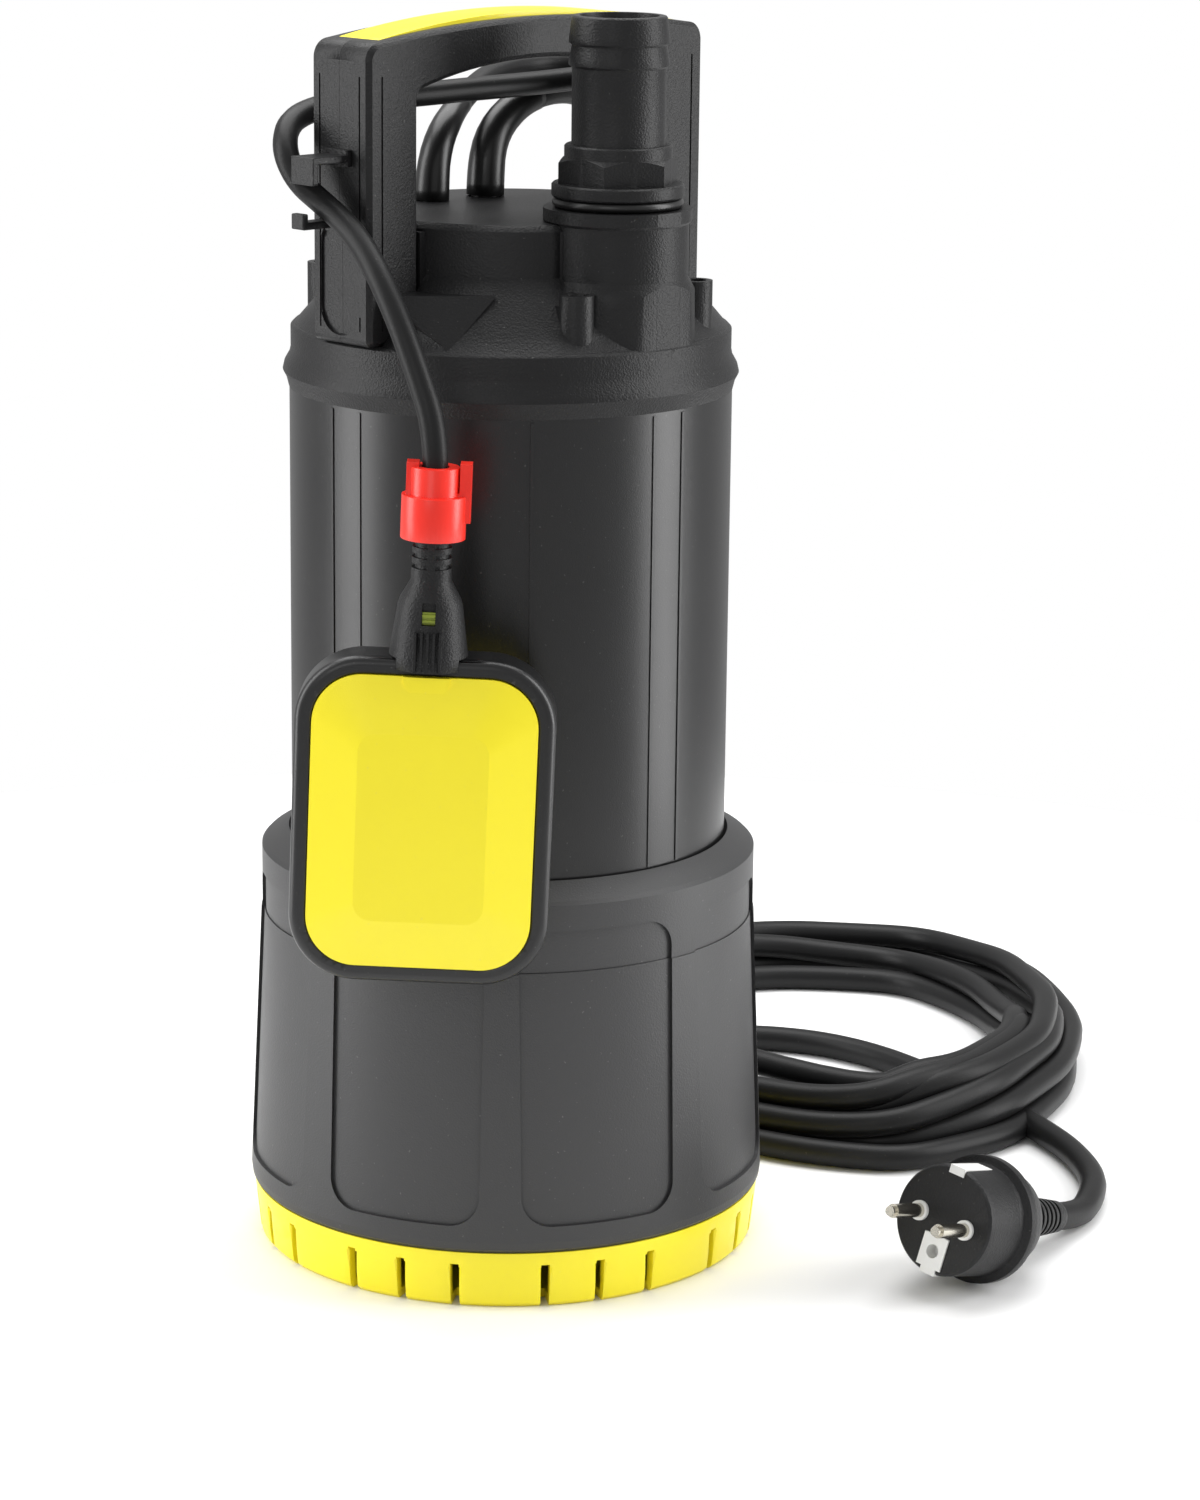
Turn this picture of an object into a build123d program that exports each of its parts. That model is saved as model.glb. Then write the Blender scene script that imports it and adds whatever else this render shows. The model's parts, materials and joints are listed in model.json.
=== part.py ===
from build123d import *
import os
from math import pi, radians, sqrt, tan

# Submersible sump pump, in millimetres. Z is up and the floor is z = 0. The pump's axis is the Z axis,
# the handle runs along X, and the outlet stands on the -Y side.

# ---- driving dimensions ----
FIT = 0.1                     # gap between mating curved faces of fixed pieces
BASE_R = 89.0                 # strainer base
BASE_TOP = 20.0
BASE_WALL = 4.5
SLOT_TOP = 15.5
SLOT_WIDTH = 3.0
SLOT_STEP = 12.5              # degrees between the slots of one group
GROUPS = 8                    # slot groups and casing panels
CASING_R_LOW = 90.0           # lower casing, tapering up to the parting line
CASING_R_TOP = 85.9
CASING_BORE = 81.0
PARTING = 116.6
PANEL_LOW = 29.5
PANEL_TOP = 131.0
PANEL_DEPTH = 1.2
PANEL_WIDTH = 55.0
PANEL_CORNER = 10.0
RING_R = 85.5                 # collar ring over the lower casing
RING_EDGE = 141.0
RING_TOP = 146.0
JACKET_R = 75.0
JACKET_WALL = 3.5
JACKET_LOW = 121.0
JACKET_TOP = 303.5
LIP_R = 77.2                  # top cover, from its lip to the drum
SHOULDER_R = 74.5
SHOULDER_TOP = 321.0
DRUM_R = 54.0
CONE_TOP = 343.0
DRUM_TOP = 360.0
DRUM_BORE = 49.0
OUTLET_Y = -50.0              # outlet boss and hose connector
BOSS_R = 24.5
BOSS_TOP = 364.5
SCREW_BOSS_TOP = 339.0
OUTLET_BORE = 15.0
THREAD_R = 16.5
SEAT_TOP = 336.0              # check valve
FLAP_R = 10.5
HINGE_Y = OUTLET_Y + 11.0
HINGE_Z = 337.6
FLANGE_Z = 368.0              # hose connector
HOSE_BORE = 13.0
CONNECTOR_TOP = 426.5
LEG_OUT = 77.0                # handle
LEG_IN = 55.0
HANDLE_HALF = 14.1            # half of the handle's width
HANDLE_END_TOP = 418.0
HANDLE_CROWN = 424.0
GRIP_LOW = 402.6
GRIP_LOW_MID = 410.5
CAN_R = 62.0                  # motor
CAN_WALL = 2.0
CAN_LOW = 121.0
CAN_TOP = 288.0
SHAFT_R = 7.0
STATOR_R = CAN_R - CAN_WALL - FIT
ROTOR_R = 34.0
STAGES = 4                    # pump stages
STAGE_LOW = 24.0
STAGE_PITCH = 20.0
STAGE_R = 68.0
FLOAT_CABLE_R = 4.1           # cables
MAINS_CABLE_R = 4.9
FLOAT_W = 84.0                # float
FLOAT_H = 108.0
FLOAT_CORNER = 22.0
FLOAT_TILT = 2.0
NECK_R = 6.6                  # gland's neck through the float's rim
HOOK_PIVOT = (-84.3, 1.0, 368.0)   # the float cable bends here, between its two hooks

os.makedirs("parts", exist_ok=True)


# ---- helpers ----
def save(name, shape):
    """Write one node."""
    export_step(shape, f"parts/{name}.step")


def diag(u, v, z=0.0):
    """Point from axes turned 45 degrees: u towards +X-Y, v towards -X-Y."""
    return ((u - v) / sqrt(2), (-u - v) / sqrt(2), z)


def lathe(*outline):
    """Solid of revolution about Z from (radius, height) points."""
    face = make_face(Polyline(*[(r, 0, z) for r, z in outline], close=True))
    return revolve(face, Axis.Z, 360)


def disc(radius, low, top, x=0.0, y=0.0):
    """Upright cylinder between two heights."""
    return Pos(x, y, (low + top) / 2) * Cylinder(radius, top - low)


def tube(radius, bore, low, top, x=0.0, y=0.0):
    """Upright tube between two heights."""
    return disc(radius, low, top, x, y) - disc(bore, low - 1, top + 1, x, y)


def block(x0, x1, y0, y1, z0, z1):
    """Box between two corners."""
    centre = Pos((x0 + x1) / 2, (y0 + y1) / 2, (z0 + z1) / 2)
    return centre * Box(x1 - x0, y1 - y0, z1 - z0)


def around(angle, shape):
    """Turn a shape about Z."""
    return Rot(0, 0, angle) * shape


def tangent_radii(points, least):
    """Arc radii at the inner points of a route: 0.45 of the shorter run over tan(half turn)."""
    spots = [Vector(*p) for p in points]
    radii = []
    for before, here, after in zip(spots, spots[1:], spots[2:]):
        turn = (here - before).get_angle(after - here)
        shorter = min((here - before).length, (after - here).length)
        radii.append(0.45 * shorter / tan(radians(turn) / 2))
        if radii[-1] < least:
            print("tight bend", here, round(radii[-1], 1))
    return radii


def cable(name, points, radius, least):
    """Cable of straight runs joined by tangent arcs, with its volume checked."""
    radii = tangent_radii(points, least)
    path = FilletPolyline(*points, radius=radii)
    section = Plane(origin=path @ 0, z_dir=path % 0) * Circle(radius)
    solid = sweep(section, path)
    share = solid.volume / (pi * radius**2 * path.length)
    print(name, "length", round(path.length), "radii", [round(r) for r in radii], "volume share", round(share, 3))
    return solid


# ---- strainer base ----
def strainer_base():
    low_r = BASE_R - 2
    floor_r = BASE_R - BASE_WALL
    shell = lathe(
        (0, 0), (low_r - 1.5, 0), (low_r, 1.5), (BASE_R, BASE_TOP),
        (floor_r, BASE_TOP), (floor_r - 0.5, 3), (0, 3),
    )
    slot = block(floor_r - 7, BASE_R + 2, -SLOT_WIDTH / 2, SLOT_WIDTH / 2, -1, SLOT_TOP)
    slot += Pos(BASE_R - 0.4, 0, SLOT_TOP / 2 - 1) * Rot(0, 0, 45) * Box(3.6, 3.6, SLOT_TOP)
    for group in range(GROUPS):
        centre = 360 / GROUPS * (group + 0.5)
        for offset in (-SLOT_STEP, 0, SLOT_STEP):
            shell -= around(centre + offset, slot)
    for corner in range(4):
        post = around(45 + 90 * corner, disc(5.5, 3, BASE_TOP, 70) - disc(2.1, -1, BASE_TOP + 1, 70))
        head = around(45 + 90 * corner, disc(4.2, -1, 2.0, 70) + disc(2.1, -1, 4, 70))
        shell = shell + post - head
    return shell


def strainer_screws():
    screw = disc(3.9, 0.3, 2.0, 70) + disc(2.0, 2.0, 22.5, 70)
    screw -= Pos(70, 0, 0.3) * Box(5, 1, 1.2)
    return Compound(children=[around(45 + 90 * corner, screw) for corner in range(4)])


# ---- lower casing and collar ring ----
def panel_windows():
    sketch = Plane.YZ * Pos(0, (PANEL_LOW + PANEL_TOP) / 2) * RectangleRounded(
        PANEL_WIDTH, PANEL_TOP - PANEL_LOW, PANEL_CORNER
    )
    window = Pos(70, 0, 0) * extrude(sketch, amount=30)
    return [around(360 / GROUPS * (k + 0.5), window) for k in range(GROUPS)]


def recessed(shell, skin):
    """Sink each panel by cutting the skin inside its window."""
    for window in panel_windows():
        shell -= skin & window
    return shell


def lower_casing():
    shell = lathe(
        (CASING_BORE, BASE_TOP), (BASE_R - 0.6, BASE_TOP), (CASING_R_LOW - 0.3, BASE_TOP + 1.5),
        (CASING_R_LOW, BASE_TOP + 4), (CASING_R_TOP, PARTING), (CASING_BORE, PARTING),
    )
    skin = lathe(
        (CASING_R_LOW - PANEL_DEPTH, BASE_TOP + 4), (CASING_R_LOW + 5, BASE_TOP + 4),
        (CASING_R_LOW + 5, PARTING + 1), (CASING_R_TOP - PANEL_DEPTH, PARTING + 1),
    )
    return recessed(shell, skin)


def collar_ring():
    shell = lathe(
        (JACKET_R + FIT, PARTING), (RING_R, PARTING), (RING_R, RING_EDGE - 1.2), (RING_R - 1.2, RING_EDGE),
        (JACKET_R + 1.2, RING_TOP), (JACKET_R + FIT, RING_TOP - 2),
    )
    skin = lathe(
        (RING_R - PANEL_DEPTH, PARTING - 1), (RING_R + 5, PARTING - 1),
        (RING_R + 5, PANEL_TOP + 5), (RING_R - PANEL_DEPTH, PANEL_TOP + 5),
    )
    return recessed(shell, skin)


# ---- pump stages ----
def suction_plate():
    plate = tube(CASING_BORE - FIT, 19.0, BASE_TOP, STAGE_LOW)
    plate += tube(22.0, 19.0, 12.0, BASE_TOP)
    for corner in range(4):
        plate -= around(45 + 90 * corner, disc(2.1, BASE_TOP - 1, STAGE_LOW + 1, 70))
    return plate


def stage_bowl(low):
    """Bowl with six guide vanes; the shaft hub passes through its floor."""
    top = low + STAGE_PITCH
    bowl = tube(STAGE_R, STAGE_R - 3, low, top)
    bowl += tube(STAGE_R - 1, SHAFT_R + 5, top - 3, top)
    bowl -= tube(58.0, 26.0, top - 4, top + 1) - lathe((20, top - 5), (60, top - 5), (60, top), (20, top - 1))
    vane = Pos(58, 0, low + 13.5) * Rot(0, 0, 35) * Box(13, 1.8, 7)
    for k in range(6):
        bowl += around(60 * k, vane)
    return bowl


def impeller(low):
    """Closed impeller: two shrouds, six swept vanes and a hub on the shaft."""
    wheel = tube(44.0, SHAFT_R + 0.03, low + 2.0, low + 3.6) - disc(17.5, low, low + 3.7)
    wheel += tube(44.0, SHAFT_R, low + 9.4, low + 11.0)
    wheel += tube(11.0, SHAFT_R, low + 2.0, low + 14.0)
    arm = Pos(30.5, 0, low + 6.5) * Rot(0, 0, -28) * Box(24, 1.6, 6.2)
    for k in range(6):
        wheel += around(60 * k, arm)
    return wheel


def discharge_head():
    """Plate between the pump stages and the motor, with windows that let the water past the motor."""
    low = STAGE_LOW + STAGES * STAGE_PITCH
    head = tube(CASING_BORE - FIT, 13.0, low, PARTING)
    head += tube(RING_R - 3, 13.0, PARTING, JACKET_LOW) & disc(JACKET_R, PARTING, JACKET_LOW)
    head -= tube(56.0, 22.0, low - 1, low + 8)
    window = block(63.5, 70.5, -9, 9, low - 1, JACKET_LOW + 1)
    for k in range(8):
        head -= around(45 * k, window)
    channel = tube(70.0, 40.0, low - 1, low + 6)
    groove = tube(JACKET_R - 0.4, JACKET_R - JACKET_WALL + 0.1, JACKET_LOW - 1.5, JACKET_LOW + 1)
    return head - channel - groove


def casing_seal():
    return tube(JACKET_R - 0.4, JACKET_R - JACKET_WALL + 0.1, JACKET_LOW - 1.5, JACKET_LOW)


# ---- motor ----
def motor_can():
    can = tube(CAN_R, CAN_R - CAN_WALL, CAN_LOW, CAN_TOP)
    floor = tube(CAN_R - CAN_WALL, 18.1, CAN_LOW, CAN_LOW + 3)
    cup = tube(20.0, 18.1, CAN_LOW, CAN_LOW + 16) - disc(8.5, CAN_LOW - 1, CAN_LOW + 1)
    return can + floor + cup


def ball_bearing(low, height):
    """Inner ring, outer ring and web in one piece, running on the shaft."""
    bearing = tube(18.0, 14.5, low, low + height) + tube(16.0, 9.5, low + 3, low + height - 3)
    return bearing + tube(11.0, SHAFT_R + 0.05, low, low + height)


def shaft():
    journal = disc(SHAFT_R, STAGE_LOW + 1, 274)
    return journal + tube(10.5, SHAFT_R - 1, 142, 146)


def stator_core():
    core = tube(STATOR_R, ROTOR_R + 1, 155, 235)
    slot = block(ROTOR_R, ROTOR_R + 14, -2, 2, 150, 240) + disc(4.2, 150, 240, ROTOR_R + 14)
    for k in range(12):
        core -= around(30 * k, slot)
    return core


def windings():
    """Copper end turns above and below the core, and the slot fills between them."""
    coil = tube(ROTOR_R + 19, ROTOR_R + 5, 145, 155) + tube(ROTOR_R + 19, ROTOR_R + 5, 235, 247)
    for k in range(12):
        coil += around(30 * k, disc(4.0, 154, 236, ROTOR_R + 14))
    return coil


def upper_shield():
    """End shield that holds the upper bearing; it sits inside the can."""
    plate = tube(CAN_R - CAN_WALL - FIT, 18.05, 258, 264)
    return plate + tube(20.5, 18.05, 250, 258)


def can_lid():
    lid = disc(CAN_R + 2, CAN_TOP, CAN_TOP + 4) + disc(CAN_R - CAN_WALL - FIT, CAN_TOP - 4, CAN_TOP)
    return lid - disc(20.0, CAN_TOP - 5, CAN_TOP + 5, 5, 24)


def capacitor():
    return Pos(-18, -8, 274) * Rot(90, 0, 0) * Cylinder(8.5, 46) + Pos(-18, 17, 274) * Box(5, 6, 9)


# ---- jacket ----
def jacket():
    shell = tube(JACKET_R, JACKET_R - JACKET_WALL, JACKET_LOW, JACKET_TOP)
    rib_low = RING_TOP + 0.5
    rib_top = JACKET_TOP - 4.5
    rib = block(JACKET_R - 1, JACKET_R + 0.4, -0.6, 0.6, rib_low, rib_top)
    for side in range(4):
        for offset in (-5, 5):
            shell += around(90 * side + offset, rib)
    for weld in (51.6, 231.6):
        shell += around(weld, rib)
    return shell


# ---- top cover ----
def gusset():
    """Triangular rib between a handle socket and the cone."""
    face = make_face(Polyline((-73, -15, 338), (-45, -40, 338), (-62.6, -36.4, 321.5), close=True))
    return extrude(face, amount=16, dir=(0.35, 1, 0))


def cover_outside():
    shell = lathe(
        (0, 300), (JACKET_R + 0.2, 300), (LIP_R - 1.2, 303.2), (LIP_R, 305.5), (LIP_R - 0.6, 308),
        (SHOULDER_R + 0.4, 311), (SHOULDER_R, 313), (SHOULDER_R, SHOULDER_TOP - 1), (SHOULDER_R - 1, SHOULDER_TOP),
        (SHOULDER_R - 1.5, SHOULDER_TOP), (DRUM_R, CONE_TOP), (DRUM_R, DRUM_TOP - 2), (DRUM_R - 2, DRUM_TOP),
        (0, DRUM_TOP),
    )
    boss = lathe(
        (0, 318), (BOSS_R + 1.6, 318), (BOSS_R + 1.2, 338), (BOSS_R - 0.9, 342), (BOSS_R - 0.9, BOSS_TOP - 5),
        (BOSS_R, BOSS_TOP - 4), (BOSS_R, BOSS_TOP), (0, BOSS_TOP),
    )
    shell += (Pos(0, OUTLET_Y, 0) * boss) & disc(SHOULDER_R - 0.4, 310, 380)
    for side in (-1, 1):
        x0, x1 = sorted((side * (LEG_IN - 8.5), side * (LEG_IN - 0.2)))
        shell += block(x0, x1, -HANDLE_HALF, HANDLE_HALF, 320, 357)
    for angle in (-115, -65, 57, 123):
        shell += around(angle, disc(5.7, 312, SCREW_BOSS_TOP, 65.5) + block(50, 65.5, -5.7, 5.7, 320, 335))
    shell += gusset() + around(180, gusset())
    return shell


def handle_pockets():
    """The cover is cut square where the handle's legs stand on it."""
    pockets = []
    for side in (-1, 1):
        x0, x1 = sorted((side * (LEG_IN - 0.2), side * (LEG_OUT + 8)))
        pockets.append(block(x0, x1, -HANDLE_HALF - 0.2, HANDLE_HALF + 0.2, SHOULDER_TOP, 362))
    return pockets


def top_cover():
    shell = cover_outside()
    for pocket in handle_pockets():
        shell -= pocket
    cavity = disc(JACKET_R + FIT, 299, JACKET_TOP) + disc(70, 299, 316)
    cavity += disc(DRUM_BORE, 315, DRUM_TOP - 4)
    chamber = tube(23.0, 20.0, CAN_TOP + 4, DRUM_TOP - 3, 5, 24)
    outlet = disc(BOSS_R - 5, 318, DRUM_TOP, 0, OUTLET_Y)
    shell = shell - cavity + chamber + outlet
    shell -= disc(OUTLET_BORE, 299, 340, 0, OUTLET_Y) + disc(THREAD_R, 340, BOSS_TOP + 1, 0, OUTLET_Y)
    for (x, y), cable_r in zip(GLANDS, (FLOAT_CABLE_R, MAINS_CABLE_R)):
        shell -= disc(cable_r + 1.0, DRUM_TOP - 6, DRUM_TOP + 1, x, y)
    for angle in (-115, -65, 57, 123):
        shell -= around(angle, disc(3.6, 331, SCREW_BOSS_TOP + 1, 65.5) + disc(2.2, 317, 332, 65.5))
    return shell


def cover_seal():
    return tube(JACKET_R - JACKET_WALL - FIT, 70.2, JACKET_TOP - 4, JACKET_TOP)


def cover_screws():
    screws = []
    for angle in (-115, -65, 57, 123):
        screw = disc(3.4, 331, 334, 65.5) + disc(2.0, 317.5, 331, 65.5)
        screw -= Pos(65.5, 0, 334) * (Box(4.6, 0.9, 2.4) + Box(0.9, 4.6, 2.4))
        screws.append(around(angle, screw))
    return Compound(children=screws)


# ---- handle ----
def handle_outline():
    """Outline of the handle: two legs and an arched grip, with rounded corners."""
    low = SHOULDER_TOP
    edges = [
        Polyline((-LEG_IN, GRIP_LOW, 0), (-LEG_IN, low, 0), (-LEG_OUT, low, 0), (-LEG_OUT, HANDLE_END_TOP, 0)),
        ThreePointArc((-LEG_OUT, HANDLE_END_TOP, 0), (0, HANDLE_CROWN, 0), (LEG_OUT, HANDLE_END_TOP, 0)),
        Polyline((LEG_OUT, HANDLE_END_TOP, 0), (LEG_OUT, low, 0), (LEG_IN, low, 0), (LEG_IN, GRIP_LOW, 0)),
        ThreePointArc((LEG_IN, GRIP_LOW, 0), (0, GRIP_LOW_MID, 0), (-LEG_IN, GRIP_LOW, 0)),
    ]
    face = make_face(Wire(edges_of(edges)))
    corners = face.vertices().group_by(Axis.Y)
    face = fillet(corners[0], 2.5)
    face = fillet(face.vertices().filter_by(lambda v: abs(v.Y - GRIP_LOW) < 0.1), 4)
    return fillet(face.vertices().filter_by(lambda v: abs(v.Y - HANDLE_END_TOP) < 0.1), 6)


def edges_of(curves):
    """All edges of a list of curves."""
    found = []
    for curve in curves:
        found += curve.edges()
    return found


def grip_insert_shape(gap):
    """Rounded strip laid into the crown; the gap grows it for the pocket."""
    strip = Pos(0, 0, 412) * extrude(
        RectangleRounded(145 + 2 * gap, 19 + 2 * gap, 4), amount=20
    )
    band = make_face(Wire(edges_of([
        ThreePointArc((-74, 0, 418.2), (0, 0, 425.6), (74, 0, 418.2)),
        Line((74, 0, 418.2), (74, 0, 414.4 - gap)),
        ThreePointArc((74, 0, 414.4 - gap), (0, 0, 421.0 - gap), (-74, 0, 414.4 - gap)),
        Line((-74, 0, 414.4 - gap), (-74, 0, 418.2)),
    ])))
    return strip & extrude(band, amount=20, both=True)


def handle_half(side):
    """One moulded half shell, 3 mm walls, with a rim of screw posts left solid at the legs' feet."""
    solid = Rot(90, 0, 0) * extrude(handle_outline(), amount=-side * (HANDLE_HALF - 0.05))
    solid = chamfer(solid.faces().sort_by(Axis.Y)[0 if side < 0 else -1].edges(), 1.6)
    legs = block(LEG_IN + 3, LEG_OUT - 3, *sorted((0, side * 11)), 345, 402)
    mirror_legs = block(-LEG_OUT + 3, -LEG_IN - 3, *sorted((0, side * 11)), 345, 402)
    solid = solid - legs - mirror_legs
    solid -= block(-40, 40, *sorted((0, side * 10.5)), 413.4, 416.8)
    panel = Plane.YZ * Pos(0, 343) * RectangleRounded(19, 38, 9)
    panel_cut = Pos(-LEG_OUT - 1, 0, 0) * extrude(panel, amount=2.2)
    lip_gap = Pos(-LEG_OUT, side * HANDLE_HALF, 370) * Rot(0, 0, 45) * Box(6.4, 6.4, 110)
    lip_gap &= Pos(-LEG_OUT, side * HANDLE_HALF, 367) * Rot(0, 0, side * 45) * Box(6.0, 1.1, 86)
    rims = block(-LEG_OUT, -LEG_OUT + 0.5, *sorted((side * 9.2, side * 9.9)), 326, 408)
    rims += block(-LEG_OUT + 5.4, -LEG_OUT + 6.1, *sorted((side * (HANDLE_HALF - 0.5), side * HANDLE_HALF)), 326, 408)
    for cut in (panel_cut, lip_gap, rims):
        solid -= cut + mirror(cut, Plane.YZ)
    solid -= grip_insert_shape(0.2)
    return Pos(0, side * 0.05, 0) * solid


def cable_hook(front, shelf_low, lip_low, lip_top):
    """Hook on the leg's outer face: a foot on the leg, a shelf and a lip outside the cable."""
    foot = block(-LEG_OUT - 2.2, -LEG_OUT, front, 5, shelf_low - 1.5, shelf_low + 4)
    shelf = block(-LEG_OUT - 16.5, -LEG_OUT - 2.2, front, 5, shelf_low, shelf_low + 2.4)
    lip = block(-LEG_OUT - 16.5, -LEG_OUT - 14.2, front, 5, lip_low, lip_top)
    return foot + shelf + lip


# ---- hose connector ----
def hose_connector():
    body = lathe(
        (HOSE_BORE, 346), (THREAD_R - 0.2, 346), (THREAD_R - 0.2, FLANGE_Z - 3.5), (18.2, FLANGE_Z - 3.5),
        (18.2, FLANGE_Z), (21.4, FLANGE_Z), (21.8, FLANGE_Z + 0.6), (21.8, FLANGE_Z + 3.9), (21.2, FLANGE_Z + 4.5),
        (17.7, FLANGE_Z + 4.5), (17.7, 384.4), (17.1, 385), (15.4, 385), (15.4, 409.8), (16.5, 410.6),
        (16.5, 411.6), (15.5, 417), (16.5, 417.8), (16.5, 419), (15.6, 426), (15.1, CONNECTOR_TOP),
        (HOSE_BORE, CONNECTOR_TOP),
    )
    hexagon = extrude(Pos(0, 0, FLANGE_Z + 4.5) * RegularPolygon(20.4, 6, rotation=-148), amount=8.5)
    crown = lathe((0, 370), (22, 370), (22, 378.2), (17.5, 381), (0, 381))
    body += (hexagon & crown) - disc(HOSE_BORE + 1, 360, 390)
    return Pos(0, OUTLET_Y, 0) * body


def connector_o_ring():
    ring = revolve(Pos(19.9, 0, 366.25) * Rot(90, 0, 0) * Circle(1.7), Axis.Z, 360)
    return Pos(0, OUTLET_Y, 0) * ring


# ---- check valve ----
def valve_seat():
    seat = tube(OUTLET_BORE - FIT, 8.5, 332.0, SEAT_TOP, 0, OUTLET_Y)
    lug = block(-7.5, -5.0, HINGE_Y - 1.6, HINGE_Y + 1.6, SEAT_TOP, HINGE_Z + 1.6)
    hole = Pos(0, HINGE_Y, HINGE_Z) * Rot(0, 90, 0) * Cylinder(0.8, 30)
    return seat + lug + mirror(lug, Plane.YZ) - hole


def valve_flap():
    flap = disc(FLAP_R, SEAT_TOP + 0.1, SEAT_TOP + 1.8, 0, OUTLET_Y)
    flap -= block(-20, 20, HINGE_Y - 2.6, HINGE_Y + 5, SEAT_TOP, SEAT_TOP + 2)
    arm = block(-4.6, 4.6, OUTLET_Y + 6, HINGE_Y, SEAT_TOP + 0.9, SEAT_TOP + 2.4)
    eye = Pos(0, HINGE_Y, HINGE_Z) * Rot(0, 90, 0) * Cylinder(1.35, 9.2)
    return flap + arm + eye - Pos(0, HINGE_Y, HINGE_Z) * Rot(0, 90, 0) * Cylinder(0.85, 30)


def valve_pin():
    return Pos(0, HINGE_Y, HINGE_Z) * Rot(0, 90, 0) * Cylinder(0.8, 15)


# ---- float ----
FLOAT_AT = diag(-25.5, 103.0, 175.0)


def float_frame():
    """The float's own frame: local X across, local Y out of its yellow face, local Z up its length."""
    return Pos(*FLOAT_AT) * Rot(0, 0, -45) * Rot(0, FLOAT_TILT, 0)


def float_slab(width, height, corner, back, front):
    """Rounded slab in the float's own frame, from one depth to the other (negative is the yellow face)."""
    sketch = Plane.XZ * RectangleRounded(width, height, corner)
    return extrude(sketch, amount=-(front - back)).moved(Location((0, back, 0)))


def float_rim():
    rim = float_slab(FLOAT_W, FLOAT_H, FLOAT_CORNER, -8, 8)
    rim = fillet(rim.edges().filter_by(GeomType.LINE, reverse=True).group_by(Axis.Y)[0], 3)
    rim -= float_slab(FLOAT_W - 11, FLOAT_H - 11, FLOAT_CORNER - 5.5, -9, 9)
    rim -= disc(NECK_R + FIT, 40, FLOAT_H)
    return float_frame() * rim


def float_shell(side):
    """Yellow shell with a bevelled plateau, hollow, sitting inside the rim."""
    width = FLOAT_W - 11.4
    height = FLOAT_H - 11.4
    corner = FLOAT_CORNER - 5.7
    body = float_slab(width, height, corner, -8.6, -0.1)
    edge = Plane.XZ.offset(8.6) * RectangleRounded(width, height, corner)
    plateau = Plane.XZ.offset(12.6) * Pos(0, -1.0) * RectangleRounded(42, 62, 6)
    hollow = float_slab(width - 6, height - 6, corner - 3, -7.2, 0.1)
    pad = Pos(0, -8.6, height / 2) * Rot(90, 0, 0) * Cylinder(7.5, 2.2)
    pad &= float_slab(width, height, corner, -12, 0)
    shape = body + loft([edge, plateau]) + pad - hollow
    if side > 0:
        shape = mirror(shape, Plane.XZ)
    return float_frame() * shape


def float_gland():
    """Cone gland with five ribs on its face, and the slotted neck above it, in one moulding."""
    low = FLOAT_H / 2
    bore = FLOAT_CABLE_R + 0.3
    gland = lathe(
        (bore, low - 5), (NECK_R, low - 5), (NECK_R, low + 0.1), (12.7, low + 0.1), (10.4, low + 16.5),
        (9.8, low + 18.5), (6.5, low + 24.5), (6.3, low + 38), (bore, low + 38),
    )
    lobes = disc(12.9, low - 3.6, low + 0.2) - block(-20, 20, -8.1, 8.1, low - 4, low + 0.1)
    gland += lobes
    for k in range(3):
        z = low + 28.5 + 3.4 * k
        gland -= block(1.2, 9, -7, 7, z, z + 1.5) + block(-9, -1.2, -7, 7, z, z + 1.5)
        gland += tube(5.4, bore, z - 0.2, z + 1.7)
    for k in range(5):
        gland += block(-4.4 + 2 * k, -3.6 + 2 * k, -13.2, -9, low - 3.5, low + 9.5)
    gland -= block(-2.2, 2.2, -14, -8.6, low + 11.5, low + 18.6)
    return float_frame() * gland


def float_indicator():
    low = FLOAT_H / 2
    window = block(-2.1, 2.1, -9.4, -8.7, low + 11.6, low + 15.6)
    for z in (low + 12.2, low + 14.0):
        window += block(-2.1, 2.1, -9.9, -8.8, z, z + 0.9)
    return float_frame() * window


def switch_body():
    """Micro-switch block with the tilted track that the ball runs in, behind the gland."""
    case = block(-13, 13, -7, 7, 8, 40)
    track = Pos(0, 0, 10) * Cylinder(5.3, 31)
    return float_frame() * (case - track)


def switch_ball():
    return float_frame() * Pos(0, 0, 0.5) * Sphere(5.0)


def clip_body():
    """Red clip round the cable: a wide lower ring, a narrow upper ring and two ears."""
    low, mid, top = 92.0, 106.0, 115.0
    clip = tube(10.4, 4.5, low, mid)
    clip = clip + tube(7.9, 4.5, mid, top)
    clip += block(8.0, 11.8, -3.0, 3.0, low + 5.5, top + 1.5) + block(-9.0, -5.0, -3.0, 3.0, mid, top + 1.5)
    clip += block(5.5, 8.5, -3.0, 3.0, low + 5.5, mid + 1)
    clip -= disc(4.5, low - 1, top + 2)
    clip -= block(-1.4, 1.4, 4.0, 12, low - 1, top + 6)
    return float_frame() * clip


# ---- cables ----
GLANDS = ((-9.0, 30.0), (14.0, 28.0))


def cable_gland(x, y, bore):
    """Rubber gland: a stub in the drum, and a tapered boot round the cable."""
    outline = ((bore, DRUM_TOP), (bore + 1.5, DRUM_TOP), (bore + 0.7, DRUM_TOP + 10), (bore, DRUM_TOP + 10))
    return Pos(x, y, 0) * lathe(*outline) + tube(bore + 0.9, bore, DRUM_TOP - 5, DRUM_TOP, x, y)


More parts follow.
